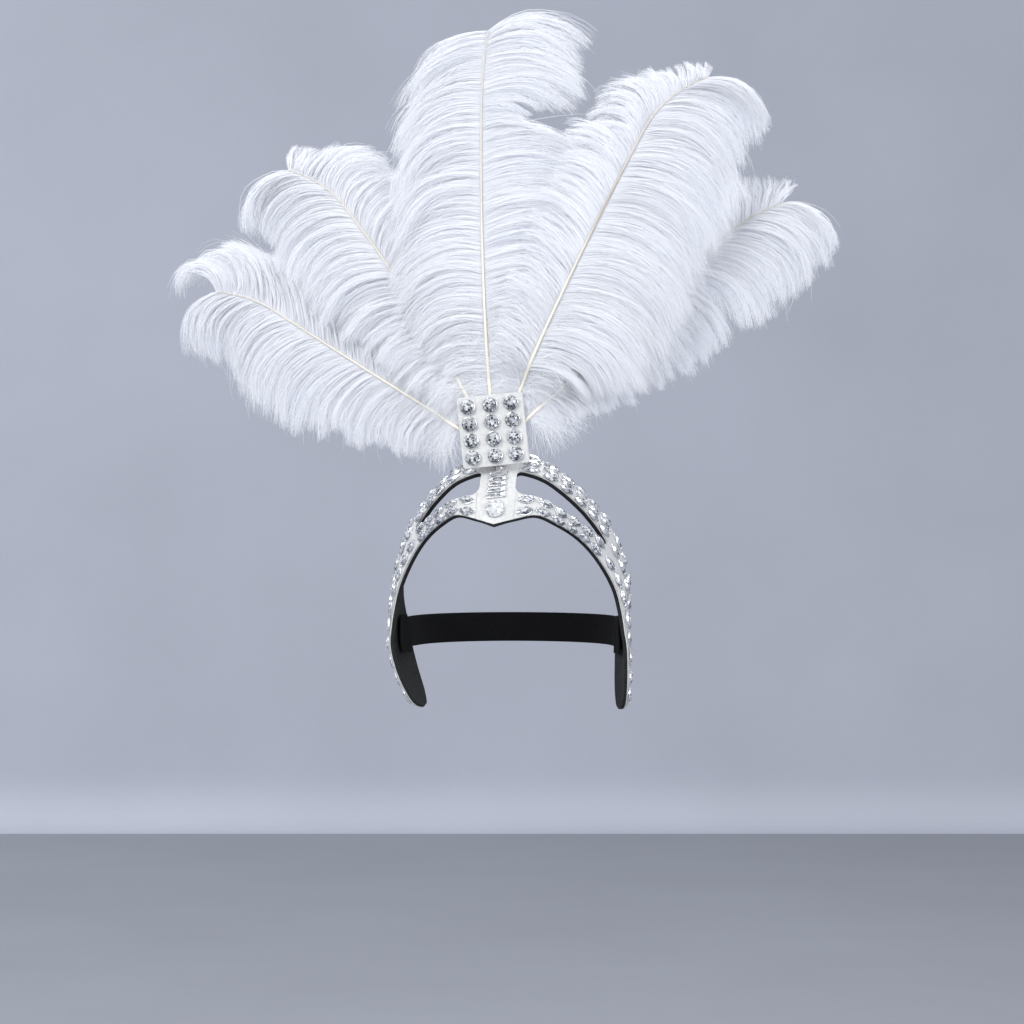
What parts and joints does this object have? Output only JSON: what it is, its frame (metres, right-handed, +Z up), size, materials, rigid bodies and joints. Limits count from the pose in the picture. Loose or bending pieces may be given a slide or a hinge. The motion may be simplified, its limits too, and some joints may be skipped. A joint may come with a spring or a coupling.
{
  "type": "feather headband",
  "caption": "Costume headband: a foam double arch with forehead V and side arms, faced in white, set with clear stones, with a jewelled plaque and a fan of ostrich plumes.",
  "frame": {"origin": "middle of the head hollow between the side arms, at the height of the elastic strap", "axes": "-Y the way the wearer looks, +X towards the right arm seen from the front, +Z up"},
  "size_m": [0.5167, 0.1896, 0.5378],
  "materials": {
    "foam": "matte black closed-cell foam board",
    "facing": "smooth off-white facing",
    "stone": "clear cut stone with a silver foil back",
    "setting": "silver foil setting with clear marquise stones",
    "feather": "white ostrich feather with an ivory quill",
    "elastic": "black woven elastic"
  },
  "bodies": {
    "root": {"centre_stone": "stone", "elastic_strap": "elastic", "frame_core": "foam", "frame_facing": "facing", "plaque_back": "facing", "plaque_bracket": "facing", "plaque_front": "facing", "plaque_stone_1_1": "stone", "plaque_stone_1_2": "stone", "plaque_stone_1_3": "stone", "plaque_stone_2_1": "stone", "plaque_stone_2_2": "stone", "plaque_stone_2_3": "stone", "plaque_stone_3_1": "stone", "plaque_stone_3_2": "stone", "plaque_stone_3_3": "stone", "plaque_stone_4_1": "stone", "plaque_stone_4_2": "stone", "plaque_stone_4_3": "stone", "plume_centre": "feather", "plume_far_left": "feather", "plume_far_right": "feather", "plume_left": "feather", "plume_right": "feather", "stones_left": "setting", "stones_right": "setting", "strap_patch_left": "elastic", "strap_patch_right": "elastic", "strut_stone_1": "stone", "strut_stone_2": "stone", "strut_stone_3": "stone", "strut_stone_4": "stone", "strut_stone_5": "stone", "strut_top_stone": "stone"}
  },
  "joints": []
}
